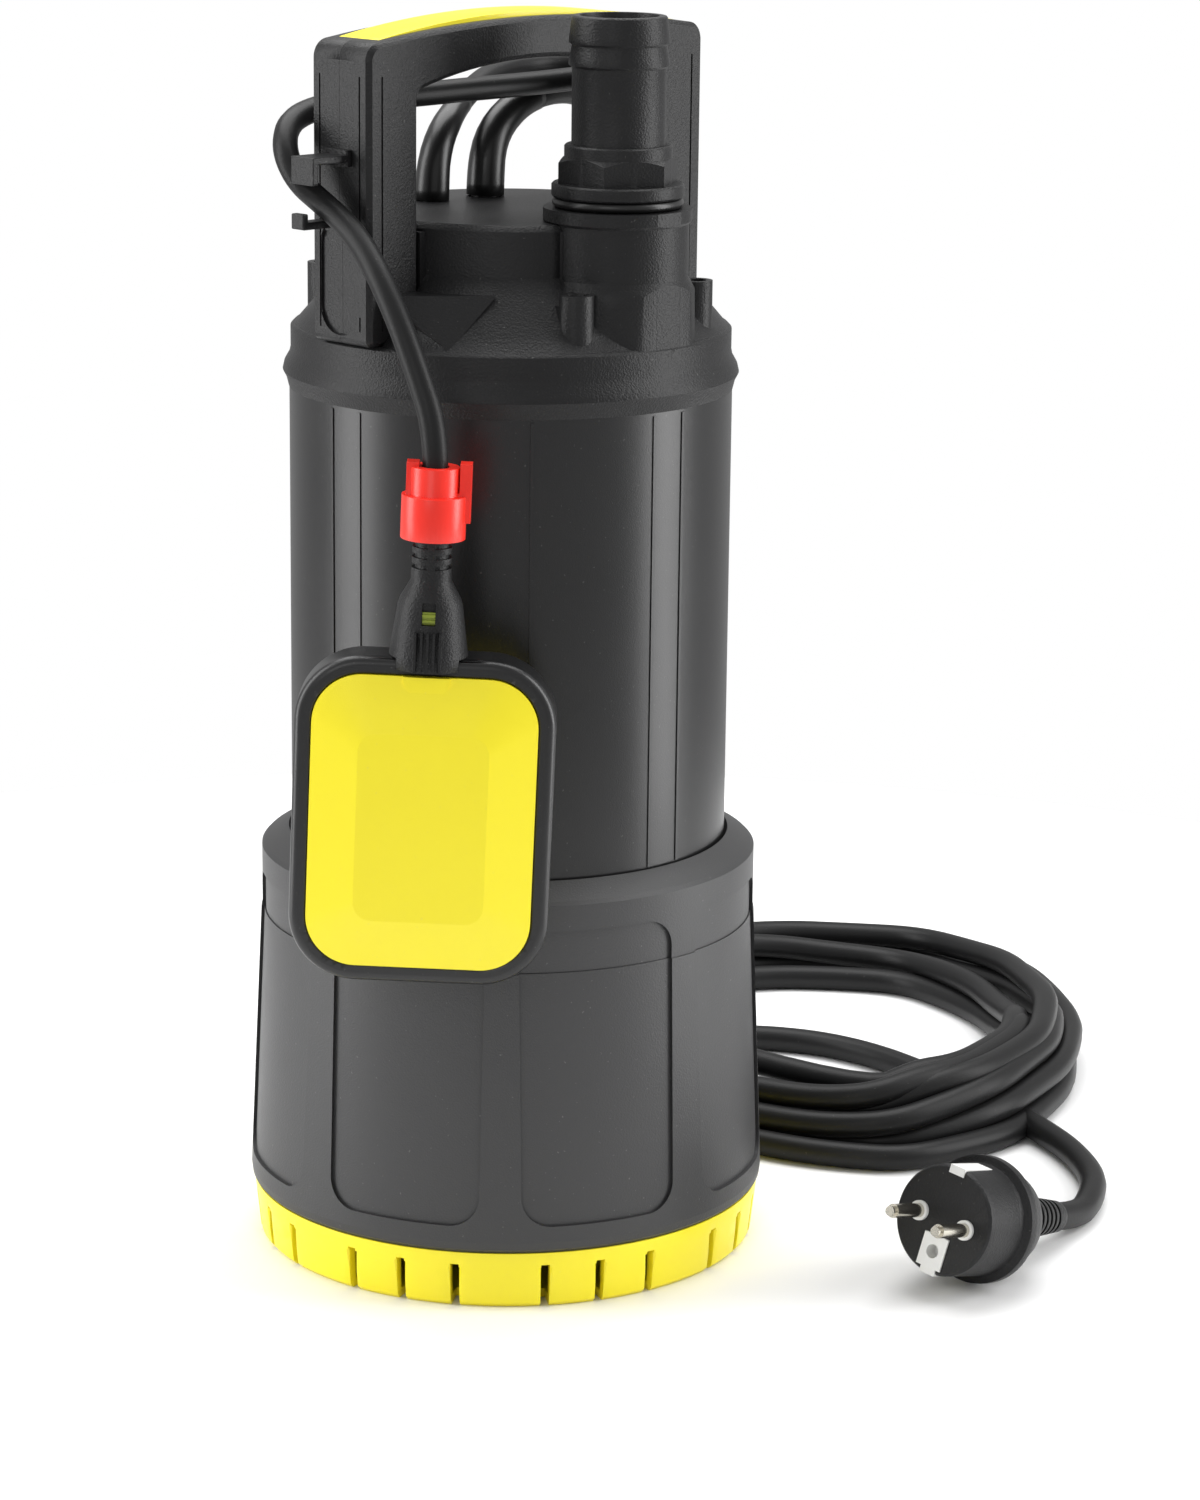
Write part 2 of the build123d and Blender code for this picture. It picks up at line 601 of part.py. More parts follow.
FLOAT_HELD_ROUTE = [
    (-9, 30, 356), (-9, 30, 369), (-4, 32, 380), (6, 36.5, 387.5), (20, 44, 393), (36, 52.5, 396.8),
    (53, 59.5, 398.8), (71, 62, 399.3), (86, 55, 399.3), (91, 42, 399), (84, 30, 398.6), (70, 25.5, 398.2), (52, 24.5, 397.8),
    (31, 24.7, 397.2), (6, 25.2, 397), (-20, 25.4, 396.5), (-44, 26.2, 396.3), (-64, 26, 395), (-80, 21.8, 391.5),
    (-88.3, 14.5, 383.5), (-88, 8, 374), HOOK_PIVOT,
]
MAINS_RISER_ROUTE = [
    (14, 28, 356), (14, 28, 370), (18, 29, 380.5), (28, 31, 388), (42, 33, 392.5), (58, 36, 393.5), (76, 41, 390),
    (91, 47.5, 381), (100, 53, 364), (103, 57, 342), (103, 58.5, 316), (102.5, 60, 280), (101, 62, 240),
    (99.5, 65, 200), (98, 69, 160), (97, 75, 122), (97.5, 82, 90), (101, 87, 64), (107, 91, 46),
    (118, 90, 32), (133, 81, 24.5),
]


def float_drop_route():
    """From the hook's pivot, down past the shoulder and the clip, into the float's gland."""
    bend = [
        (-84.1, -2.9, 366), (-83.4, -11, 361.2), (-84.3, -20, 354.9), (-86.2, -30, 346), (-87.4, -39.5, 334.5),
        (-87.8, -48, 320.5),
    ]
    straight = [(0.3, 0, 125), (0.15, 0, 88), (0, 0, 60)]
    return bend + [tuple((float_frame() * Pos(*spot)).position) for spot in straight]


def tail_route():
    """From the coil's edge along the floor and into the plug's strain relief."""
    floor = [
        diag(199, -86, 8), diag(206.5, -68, 5.6), diag(211, -50, 5.2), diag(212.8, -31, 5.1), diag(209.5, -12, 5.1),
    ]
    return floor + [tuple((plug_frame() * Pos(0, 0, z)).position) for z in (-67, -PLUG_TAIL)]


def coil_outline(corners):
    """Closed outline through rounded corners, each arc as large as its two sides allow."""
    points = [diag(u, v) for u, v in corners]
    radii = tangent_radii([points[-1], *points, points[0]], 5)
    return make_face(FilletPolyline(*points, radius=radii, close=True))


def mains_coil():
    """Outer shape of the loose coil: a ring drawn out to one side, lying on the floor."""
    outer = coil_outline([
        (236, -150), (214, -92), (186, -60), (141, -38), (104, -44), (60, -92), (-70, -141), (-114, -166),
        (-84, -206), (20, -296), (96, -345), (160, -352), (202, -330), (230, -262), (240, -195),
    ])
    inner = coil_outline([(172, -160), (128, -150), (62, -165), (46, -190), (64, -222), (118, -236), (160, -222)])
    return extrude(outer - inner, amount=26)


# ---- plug ----
def plug_frame():
    """Frame at the collar's centre: local Z runs from the cable to the pins."""
    centre = Vector(*diag(163.0, 56.0, 22.2))
    axis = Vector(-0.960, -0.111, 0.255)
    return Plane(origin=centre, x_dir=axis.cross(Vector(0, 0, 1)), z_dir=axis).location


PLUG_FACE = 23.0
PLUG_ROLL = 172.0
PLUG_TAIL = 50.0


def plug_body():
    body = lathe(
        (0, -22), (12, -22), (17, -14), (19.5, -3), (22, -2.5), (22, 1.0), (19.4, 2.0), (19, PLUG_FACE - 1),
        (18.2, PLUG_FACE), (0, PLUG_FACE),
    )
    relief = lathe((0, -PLUG_TAIL), (5.6, -PLUG_TAIL), (8.4, -22), (0, -22))
    for k in range(6):
        relief -= tube(9, 5.4, -28.0 - 3.4 * k, -26.4 - 3.4 * k)
    body += relief
    for s in (-1, 1):
        body -= disc(3.45, PLUG_FACE - 9, PLUG_FACE + 1, s * 9.5)
        body -= block(-3.2, 3.2, *sorted((s * 16.2, s * 20)), 6, PLUG_FACE + 1)
    body -= block(-5, 5, -17.0, -5.4, PLUG_FACE - 8, PLUG_FACE + 1)
    return body


def plug_pins():
    pin = disc(2.4, PLUG_FACE - 9, PLUG_FACE + 17, 9.5) + disc(1.7, PLUG_FACE + 17, PLUG_FACE + 19, 9.5)
    return Compound(children=[pin, mirror(pin, Plane.YZ)])


def plug_pin_sleeves():
    sleeve = tube(3.4, 2.45, PLUG_FACE - 9, PLUG_FACE + 1.2, 9.5)
    return Compound(children=[sleeve, mirror(sleeve, Plane.YZ)])


def plug_earth():
    """Earth socket with its white frame, and a contact spring at each side of the body."""
    socket = block(-4.9, 4.9, -16.9, -5.5, PLUG_FACE - 8, PLUG_FACE + 0.6)
    socket -= disc(2.4, PLUG_FACE - 5, PLUG_FACE + 2, 0, -11.2)
    clips = [block(-3.0, 3.0, *sorted((s * 16.3, s * 19.2)), 6.2, PLUG_FACE + 0.2) for s in (-1, 1)]
    return Compound(children=[socket, *clips])


# ---- write every node ----
save("strainer_base", strainer_base())
save("strainer_screws", strainer_screws())
save("suction_plate", suction_plate())
save("lower_casing", lower_casing())
save("collar_ring", collar_ring())
save("casing_seal", casing_seal())
for stage in range(STAGES):
    stage_low = STAGE_LOW + STAGE_PITCH * stage
    save(f"stage_bowl_{stage + 1}", stage_bowl(stage_low))
    save(f"impeller_{stage + 1}", impeller(stage_low))
save("discharge_head", discharge_head())
save("shaft_seal_seat", tube(12.9, 9.0, 108, 114))
save("shaft_seal_ring", tube(8.6, SHAFT_R, 104.5, 107.6) + tube(8.4, SHAFT_R, 107.6, 116))
save("motor_can", motor_can())
save("lower_bearing", ball_bearing(125, 11))
save("upper_bearing", ball_bearing(253, 11))
save("bearing_shield", upper_shield())
save("shaft", shaft())
save("rotor_core", tube(ROTOR_R, SHAFT_R, 155, 235))
save("stator_core", stator_core())
save("windings", windings())
save("can_lid", can_lid())
save("capacitor", capacitor())
save("jacket", jacket())
cover = top_cover()
save("top_cover", cover - disc(BOSS_R + 0.02, 318, 370, 0, OUTLET_Y))
save("outlet_boss", cover & disc(BOSS_R, 318, 370, 0, OUTLET_Y))
save("cover_seal", cover_seal())
save("cover_screws", cover_screws())
save("handle_front_half", handle_half(-1))
save("handle_rear_half", handle_half(1))
save("grip_insert", grip_insert_shape(0))
save("cable_hooks", Compound(children=[cable_hook(-6, 380.5, 374, 382.9), cable_hook(-1, 359.4, 359.4, 364.5)]))
save("float_cable_gland", cable_gland(*GLANDS[0], FLOAT_CABLE_R))
save("mains_cable_gland", cable_gland(*GLANDS[1], MAINS_CABLE_R))
save("valve_seat", valve_seat())
save("valve_flap", valve_flap())
save("valve_pin", valve_pin())
save("hose_connector", hose_connector())
save("connector_o_ring", connector_o_ring())
save("float_rim", float_rim())
save("float_front_shell", float_shell(-1))
save("float_rear_shell", float_shell(1))
save("float_gland", float_gland())
save("float_indicator", float_indicator())
save("switch_body", switch_body())
save("switch_ball", switch_ball())
save("cable_clip", clip_body())
save("float_cable_held", cable("float_cable_held", FLOAT_HELD_ROUTE, FLOAT_CABLE_R, 20))
save("float_cable_drop", cable("float_cable_drop", float_drop_route(), FLOAT_CABLE_R, 20))
save("mains_riser", cable("mains_riser", MAINS_RISER_ROUTE, MAINS_CABLE_R, 20))
save("mains_coil", mains_coil())
save("mains_tail", cable("mains_tail", tail_route(), MAINS_CABLE_R, 20))
save("plug_body", plug_frame() * Rot(0, 0, PLUG_ROLL) * plug_body())
save("plug_pins", plug_frame() * Rot(0, 0, PLUG_ROLL) * plug_pins())
save("plug_pin_sleeves", plug_frame() * Rot(0, 0, PLUG_ROLL) * plug_pin_sleeves())
save("plug_earth", plug_frame() * Rot(0, 0, PLUG_ROLL) * plug_earth())
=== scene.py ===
# %% [markdown]
# # A submersible pump with its float switch, in Blender
# The CAD frame gives every hard piece its shape and place. This notebook gives each piece its finish, and
# makes the cables, which CAD only blocks out. Everything is in metres, with the floor at z = 0, the
# handle along X and the hose outlet on the -Y side.

# %% Load the frame
import json
from math import cos, pi, radians, sin, sqrt

import bmesh
import bpy
from mathutils import Matrix, Vector


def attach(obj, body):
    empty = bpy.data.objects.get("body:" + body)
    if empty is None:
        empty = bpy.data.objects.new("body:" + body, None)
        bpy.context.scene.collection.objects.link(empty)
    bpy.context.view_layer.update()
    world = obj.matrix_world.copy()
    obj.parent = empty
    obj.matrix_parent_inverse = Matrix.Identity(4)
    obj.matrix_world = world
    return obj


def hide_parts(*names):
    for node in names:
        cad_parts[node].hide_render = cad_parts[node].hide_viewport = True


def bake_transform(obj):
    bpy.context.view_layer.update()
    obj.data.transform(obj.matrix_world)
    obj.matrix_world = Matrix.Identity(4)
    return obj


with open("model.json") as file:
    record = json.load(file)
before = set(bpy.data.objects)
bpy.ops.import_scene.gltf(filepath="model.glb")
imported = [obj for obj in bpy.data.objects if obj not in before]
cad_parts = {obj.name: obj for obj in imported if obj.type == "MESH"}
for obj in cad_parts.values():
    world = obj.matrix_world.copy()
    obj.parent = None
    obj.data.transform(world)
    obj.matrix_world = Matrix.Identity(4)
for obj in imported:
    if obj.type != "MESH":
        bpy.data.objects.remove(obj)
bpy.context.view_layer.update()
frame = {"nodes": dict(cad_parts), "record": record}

MM = 0.001
nodes = frame["nodes"]


# %% [markdown]
# ## Camera
# A long lens from about a metre and a half gives the calm upright look of a catalogue picture. The pump
# is seen across the corner of its handle, so the camera's directions are the frame's X and Y turned by 45
# degrees. It looks slightly down, and leans by less than a degree.

# %% Diagonal directions, and the camera
SIDE = Vector((1, -1, 0)).normalized()
NEAR = Vector((-1, -1, 0)).normalized()
UP = Vector((0, 0, 1))


def diag(u, v, z=0.0):
    """Point in metres from millimetres along the camera's side and near directions."""
    return (SIDE * u + NEAR * v + UP * z) * MM


def camera_matrix(place, pitch, lean):
    """A camera at a place that looks along -NEAR, pitched down and leaning by two angles in degrees."""
    back = NEAR * cos(radians(pitch)) + UP * sin(radians(pitch))
    up = back.cross(SIDE)
    right = SIDE * cos(radians(lean)) + up * sin(radians(lean))
    turned = Matrix((right, back.cross(right), back)).transposed().to_4x4()
    turned.translation = place
    return turned


camera_data = bpy.data.cameras.new("camera")
camera_data.lens = 102.4
camera_data.sensor_width = 36.0
camera = bpy.data.objects.new("camera", camera_data)
bpy.context.collection.objects.link(camera)
camera.matrix_world = camera_matrix(diag(31.6, 1434, 531.8), pitch=14.08, lean=0.65)
bpy.context.scene.camera = camera
print("camera at", [round(x, 3) for x in camera.location])


# %% [markdown]
# ## Floor and light
# The floor is a wide pale sheet. Two tall soft boxes stand at the sides and put the long bright edges on
# the round black jacket, a broad one above lights the drum and the grip, and the white surroundings fill
# the rest.

# %% Studio
FLOOR_RADIUS = 0.64
FLOOR_SHADE = 0.90
SURROUNDINGS = 0.5
WHITE = (1, 1, 1, 1)


def area_light(name, place, target, width, height, power):
    """A rectangular soft box at a place, turned to look at a target."""
    data = bpy.data.lights.new(name, "AREA")
    data.shape = "RECTANGLE"
    data.size = width
    data.size_y = height
    data.energy = power
    light = bpy.data.objects.new(name, data)
    bpy.context.collection.objects.link(light)
    light.location = place
    light.rotation_euler = (Vector(target) - Vector(place)).to_track_quat("-Z", "Y").to_euler()


def floor_sheet():
    """The pale floor, a wide disc that ends where it is as white as the backdrop."""
    mesh = bpy.data.meshes.new("floor")
    bm = bmesh.new()
    bmesh.ops.create_circle(bm, cap_ends=True, segments=96, radius=FLOOR_RADIUS)
    bm.to_mesh(mesh)
    bm.free()
    floor = bpy.data.objects.new("floor", mesh)
    bpy.context.collection.objects.link(floor)
    paint = bpy.data.materials.new("studio_floor")
    paint.use_nodes = True
    shader = paint.node_tree.nodes["Principled BSDF"]
    shader.inputs["Base Color"].default_value = (FLOOR_SHADE, FLOOR_SHADE, FLOOR_SHADE, 1)
    shader.inputs["Roughness"].default_value = 0.6
    shader.inputs["Specular IOR Level"].default_value = 0.2
    mesh.materials.append(paint)


floor_sheet()
area_light("left_box", diag(-1000, 120, 520), diag(0, 0, 220), 0.5, 1.5, 11)
area_light("right_box", diag(1100, 80, 520), diag(0, 0, 220), 0.5, 1.5, 14)
area_light("top_box", diag(0, -420, 1450), diag(0, -40, 100), 1.5, 1.1, 22)
area_light("front_box", diag(-500, 1700, 900), diag(0, 0, 180), 0.7, 0.6, 3)
world = bpy.data.worlds.new("studio")
world.use_nodes = True
world_nodes, world_links = world.node_tree.nodes, world.node_tree.links
fill = world_nodes["Background"]
fill.inputs["Color"].default_value = WHITE
fill.inputs["Strength"].default_value = SURROUNDINGS
backdrop = world_nodes.new("ShaderNodeBackground")
backdrop.inputs["Color"].default_value = WHITE
seen = world_nodes.new("ShaderNodeLightPath")
choice = world_nodes.new("ShaderNodeMixShader")
world_links.new(seen.outputs["Is Camera Ray"], choice.inputs["Fac"])
world_links.new(fill.outputs[0], choice.inputs[1])
world_links.new(backdrop.outputs[0], choice.inputs[2])
world_links.new(choice.outputs[0], world_nodes["World Output"].inputs["Surface"])
bpy.context.scene.world = world
bpy.context.scene.view_settings.view_transform = "Standard"


# %% [markdown]
# ## Finishes
# Four things happen on moulded plastic: a fine grain etched into the mould, slow changes of gloss where
# the melt cooled, fine dust and rub marks, and the colour itself. Grain and marks are shared by many
# pieces, so each is a node group with named sockets. Patterns read Object coordinates in metres, so a
# scale of 1000 is about one millimetre.

# %% Node helpers
def group_input(tree, name, value):
    """A float input socket with its default."""
    socket = tree.interface.new_socket(name, in_out="INPUT", socket_type="NodeSocketFloat")
    socket.default_value = value


def start_group(name, floats, outputs):
    """A node group with a Vector input, float inputs and float outputs; returns its tree and both ends."""
    tree = bpy.data.node_groups.new(name, "ShaderNodeTree")
    tree.interface.new_socket("Vector", in_out="INPUT", socket_type="NodeSocketVector")
    for label, value in floats.items():
        group_input(tree, label, value)
    for label in outputs:
        tree.interface.new_socket(label, in_out="OUTPUT", socket_type="NodeSocketFloat")
    return tree, tree.nodes.new("NodeGroupInput"), tree.nodes.new("NodeGroupOutput")


def math_node(tree, operation, first, second, clamp=False):
    """A Math node whose inputs are sockets or numbers."""
    node = tree.nodes.new("ShaderNodeMath")
    node.operation = operation
    node.use_clamp = clamp
    for slot, value in zip(node.inputs, (first, second)):
        if isinstance(value, (int, float)):
            slot.default_value = value
        else:
            tree.links.new(value, slot)
    return node.outputs[0]


def noise_node(tree, vector, scale, detail=2.0):
    """A Noise texture on a vector, at a scale that is a socket or a number."""
    node = tree.nodes.new("ShaderNodeTexNoise")
    node.inputs["Detail"].default_value = detail
    tree.links.new(vector, node.inputs["Vector"])
    if isinstance(scale, (int, float)):
        node.inputs["Scale"].default_value = scale
    else:
        tree.links.new(scale, node.inputs["Scale"])
    return node.outputs["Fac"]


print("node helpers ready")


# %% Moulded grain group
FINE_RATIO = 2.3            # finer noise, in cells of the coarse grain



def grain_group():
    """Etched mould grain: rounded cells broken up by finer noise. Height is 0 to 1."""
    tree, start, end = start_group("moulded_grain", {"Scale": 1500.0, "Fineness": 0.4}, ["Height"])
    cells = tree.nodes.new("ShaderNodeTexVoronoi")
    cells.feature = "SMOOTH_F1"
    tree.links.new(start.outputs["Vector"], cells.inputs["Vector"])
    tree.links.new(start.outputs["Scale"], cells.inputs["Scale"])
    fine_scale = math_node(tree, "MULTIPLY", start.outputs["Scale"], FINE_RATIO)
    fine = noise_node(tree, start.outputs["Vector"], fine_scale)
    fine_part = math_node(tree, "MULTIPLY", fine, start.outputs["Fineness"])
    height = math_node(tree, "ADD", cells.outputs["Distance"], fine_part)
    tree.links.new(height, end.inputs["Height"])
    return tree


GRAIN = grain_group()
print("group", GRAIN.name)


# %% Handling marks group
SPECK_LEVEL = 0.74          # noise above this level becomes a speck
SPECK_EDGE = 14.0           # how sharply a speck starts


def marks_group():
    """Dust and rub marks: Cloud is slow and wide, Specks are small and rare, both 0 to 1."""
    scales = {"Cloud Scale": 14.0, "Speck Scale": 900.0}
    tree, start, end = start_group("handling_marks", scales, ["Cloud", "Specks"])
    cloud = noise_node(tree, start.outputs["Vector"], start.outputs["Cloud Scale"], detail=5.0)
    tree.links.new(cloud, end.inputs["Cloud"])
    dots = noise_node(tree, start.outputs["Vector"], start.outputs["Speck Scale"], detail=1.0)
    rare = math_node(tree, "SUBTRACT", dots, SPECK_LEVEL)
    specks = math_node(tree, "MULTIPLY", rare, SPECK_EDGE, clamp=True)
    tree.links.new(specks, end.inputs["Specks"])
    return tree


MARKS = marks_group()
print("group", MARKS.name)


# %% A finish from its parts
def place_group(tree, group, vector, values):
    """Puts a group into a material with its own values."""
    node = tree.nodes.new("ShaderNodeGroup")
    node.node_tree = group
    tree.links.new(vector, node.inputs["Vector"])
    for label, value in values.items():
        node.inputs[label].default_value = value
    return node


def ramp_between(tree, factor, low, high):
    """Maps a 0 to 1 factor to a range of numbers."""
    node = tree.nodes.new("ShaderNodeMapRange")
    node.inputs["To Min"].default_value = low
    node.inputs["To Max"].default_value = high
    tree.links.new(factor, node.inputs["Value"])
    return node.outputs["Result"]


def mix_colour(tree, factor, first, second):
    """Mixes two colours, each a socket or a tuple."""
    node = tree.nodes.new("ShaderNodeMix")
    node.data_type = "RGBA"
    tree.links.new(factor, node.inputs["Factor"])
    for slot, value in zip((node.inputs[6], node.inputs[7]), (first, second)):
        if isinstance(value, tuple):
            slot.default_value = (*value, 1)
        else:
            tree.links.new(value, slot)
    return node.outputs[2]


def bump(tree, shader, height, strength, distance):
    """Feeds a height into the shader's normal."""
    node = tree.nodes.new("ShaderNodeBump")
    node.inputs["Strength"].default_value = strength
    node.inputs["Distance"].default_value = distance
    tree.links.new(height, node.inputs["Height"])
    tree.links.new(node.outputs["Normal"], shader.inputs["Normal"])


SPECK_COLOUR = (0.5, 0.5, 0.48)
GRAIN_FINENESS = 0.4
GRAIN_STRENGTH = 0.6


def plastic(name, colour, shade, rough, grain_scale, grain_depth, speck, gloss=0.5, metallic=0.0):
    """Moulded plastic, rubber or metal: two close colours, gloss clouds, grain and rare specks."""
    paint = bpy.data.materials.new(name)
    paint.use_nodes = True
    tree = paint.node_tree
    shader = tree.nodes["Principled BSDF"]
    where = tree.nodes.new("ShaderNodeTexCoord").outputs["Object"]
    marks = place_group(tree, MARKS, where, {})
    body = mix_colour(tree, marks.outputs["Cloud"], colour, shade)
    dusty = math_node(tree, "MULTIPLY", marks.outputs["Specks"], speck)
    tree.links.new(mix_colour(tree, dusty, body, SPECK_COLOUR), shader.inputs["Base Color"])
    tree.links.new(ramp_between(tree, marks.outputs["Cloud"], *rough), shader.inputs["Roughness"])
    grain = place_group(tree, GRAIN, where, {"Scale": grain_scale, "Fineness": GRAIN_FINENESS})
    bump(tree, shader, grain.outputs["Height"], GRAIN_STRENGTH, grain_depth)
    shader.inputs["Specular IOR Level"].default_value = gloss
    shader.inputs["Metallic"].default_value = metallic
    return paint


FINISH_TABLE = {
    # name: two colours, roughness from and to, grain scale, grain depth, then specks and the rest
    "yellow_plastic": (((0.97, 0.84, 0.020), (0.94, 0.80, 0.016), (0.26, 0.36), 2600, 0.00004),
        dict(speck=0.08)),
    "grained_black_plastic": (((0.008, 0.008, 0.0085), (0.012, 0.012, 0.0125), (0.34, 0.46), 1500, 0.00022),
        dict(speck=0.10, gloss=0.27)),
    "casing_black_plastic": (((0.024, 0.024, 0.025), (0.030, 0.030, 0.031), (0.40, 0.50), 1700, 0.00010),
        dict(speck=0.12, gloss=0.6)),
    "smooth_black_plastic": (((0.007, 0.007, 0.0075), (0.010, 0.010, 0.0105), (0.26, 0.36), 2400, 0.00004),
        dict(speck=0.08)),
    "red_plastic": (((0.90, 0.028, 0.014), (0.85, 0.024, 0.012), (0.24, 0.34), 2200, 0.00003),
        dict(speck=0.05)),
    "indicator_plastic": (((0.30, 0.36, 0.03), (0.24, 0.30, 0.03), (0.18, 0.26), 2200, 0.00002),
        dict(speck=0.0)),
    "black_rubber_cable": (((0.008, 0.008, 0.0085), (0.012, 0.012, 0.012), (0.36, 0.48), 1900, 0.00006),
        dict(speck=0.06, gloss=0.22)),
    "black_rubber": (((0.006, 0.006, 0.006), (0.009, 0.009, 0.009), (0.28, 0.4), 1900, 0.00003),
        dict(speck=0.1)),
    "stainless_steel": (((0.60, 0.60, 0.61), (0.52, 0.52, 0.53), (0.22, 0.38), 3000, 0.00002),
        dict(speck=0.0, metallic=1.0)),
    "stage_plastic": (((0.12, 0.12, 0.13), (0.15, 0.15, 0.16), (0.45, 0.6), 1400, 0.0001),
        dict(speck=0.05)),
    "seal_ceramic": (((0.84, 0.82, 0.76), (0.78, 0.76, 0.70), (0.12, 0.2), 2600, 0.00001),
        dict(speck=0.02)),
    "bearing_steel": (((0.70, 0.70, 0.71), (0.62, 0.62, 0.63), (0.12, 0.22), 3000, 0.00001),
        dict(speck=0.0, metallic=1.0)),
    "cast_aluminium": (((0.62, 0.62, 0.63), (0.55, 0.55, 0.56), (0.42, 0.58), 700, 0.0003),
        dict(speck=0.1, metallic=1.0)),
    "core_steel": (((0.30, 0.31, 0.33), (0.22, 0.23, 0.25), (0.35, 0.5), 1200, 0.0001),
        dict(speck=0.1, metallic=0.9)),
    "winding_copper": (((0.62, 0.26, 0.10), (0.50, 0.20, 0.07), (0.25, 0.4), 900, 0.0005),
        dict(speck=0.0, metallic=0.8)),
    "capacitor_plastic": (((0.80, 0.80, 0.78), (0.74, 0.74, 0.72), (0.3, 0.4), 1800, 0.00003),
        dict(speck=0.05)),
    "nickel_plated_brass": (((0.66, 0.63, 0.55), (0.58, 0.55, 0.47), (0.14, 0.24), 2600, 0.00001),
        dict(speck=0.0, metallic=1.0)),
    "white_plastic": (((0.82, 0.82, 0.80), (0.76, 0.76, 0.74), (0.34, 0.46), 1800, 0.00003),
        dict(speck=0.06)),
}
FINISHES = {name: plastic(name, *look, **extra) for name, (look, extra) in FINISH_TABLE.items()}


def finish_nodes():
    """Gives every CAD node its finish, from the slot that the record names."""
    slots = {part["node"]: part["material_slot"] for part in frame["record"]["subparts"]}
    for name, piece in nodes.items():
        piece.data.materials.clear()
        matt = name in ("lower_casing", "collar_ring")
        piece.data.materials.append(FINISHES["casing_black_plastic" if matt else slots[name]])
    return slots


SLOTS = finish_nodes()
print("finishes", len(FINISHES), "on", len(SLOTS), "nodes")


# %% [markdown]
# ## Soft edges
# Moulded plastic has no sharp edge: the tool's corners leave a small round on every one, and these rounds
# carry the thin bright lines that show the shape of a black object. The CAD pieces come as loose
# triangles, so each is welded first and then beveled only where two faces meet at a clear angle.

# %% Rounded edges on the moulded pieces
EDGE_ROUNDS = {
    "strainer_base": 0.4, "top_cover": 0.5, "handle_front_half": 0.6, "handle_rear_half": 0.6,
    "grip_insert": 0.4, "cable_hooks": 0.5, "hose_connector": 0.35, "float_rim": 0.6,
    "float_gland": 0.3, "cable_clip": 0.5, "plug_body": 0.5,
}


WELD_GAP = 0.00001
CLEAR_EDGE = radians(28)


def soften(piece, width):
    """Welds a CAD piece and rounds its clear edges by a width in millimetres."""
    weld = piece.modifiers.new("weld", "WELD")
    weld.merge_threshold = WELD_GAP
    rounding = piece.modifiers.new("edge_round", "BEVEL")
    rounding.width = width * MM
    rounding.segments = 2
    rounding.limit_method = "ANGLE"
    rounding.angle_limit = CLEAR_EDGE
    rounding.use_clamp_overlap = True


for node_name, round_width in EDGE_ROUNDS.items():
    soften(nodes[node_name], round_width)
print("rounded", len(EDGE_ROUNDS), "pieces")


# %% [markdown]
# ## Cables
# A cable is a smooth line of fixed length. Each route is a short list of points in millimetres, taken
# from where the real cable leaves its gland, bends round the handle and lies on the floor. A NURBS spline
# of order three follows them without kinks. The float's cable crosses a joint, and it is turned into a
# mesh.

# %% Spline helpers
def spline_curve(name, points, radius):
    """A curve of one open NURBS spline through points in millimetres; a radius of 0 gives the bare line."""
    data = bpy.data.curves.new(name, "CURVE")
    data.dimensions = "3D"
    spline = data.splines.new("NURBS")
    spline.points.add(len(points) - 1)
    for spot, place in zip(spline.points, points):
        spot.co = (*(Vector(place) * MM), 1.0)
    spline.order_u = 3
    spline.use_endpoint_u = True
    spline.resolution_u = 6
    data.bevel_depth = radius
    data.bevel_resolution = 5
    data.use_fill_caps = True
    curve = bpy.data.objects.new(name, data)
    bpy.context.collection.objects.link(curve)
    return curve


def centre_line(points):
    """The points of a route's smooth line, in metres."""
    bare = spline_curve("bare_line", points, 0.0)
    mesh = bpy.data.meshes.new_from_object(bare.evaluated_get(bpy.context.evaluated_depsgraph_get()))
    line = [v.co.copy() for v in mesh.vertices]
    bpy.data.meshes.remove(mesh)
    bpy.data.objects.remove(bare)
    return line


def line_length(line):
    """Length of a line of points."""
    return sum((b - a).length for a, b in zip(line, line[1:]))


def tube_mesh(name, points, radius):
    """A cable as a mesh, made from the beveled spline."""
    curve = spline_curve(name + "_line", points, radius)
    mesh = bpy.data.meshes.new_from_object(curve.evaluated_get(bpy.context.evaluated_depsgraph_get()))
    bpy.data.objects.remove(curve)
    for face in mesh.polygons:
        face.use_smooth = True
    tube = bpy.data.objects.new(name, mesh)
    bpy.context.collection.objects.link(tube)
    return tube


print("spline helpers ready")


# %% Float cable
FLOAT_CABLE_R = 0.0041
FLOAT_AT = (-25.5, 103.0, 175.0)
FLOAT_TILT = radians(2.0)


def float_spot(side, height):
    """Point in millimetres in the float's own frame, which leans a little to the side."""
    u = FLOAT_AT[0] + side * cos(FLOAT_TILT) + height * sin(FLOAT_TILT)
    z = FLOAT_AT[2] + height * cos(FLOAT_TILT) - side * sin(FLOAT_TILT)
    return tuple(diag(u, FLOAT_AT[1], z) / MM)


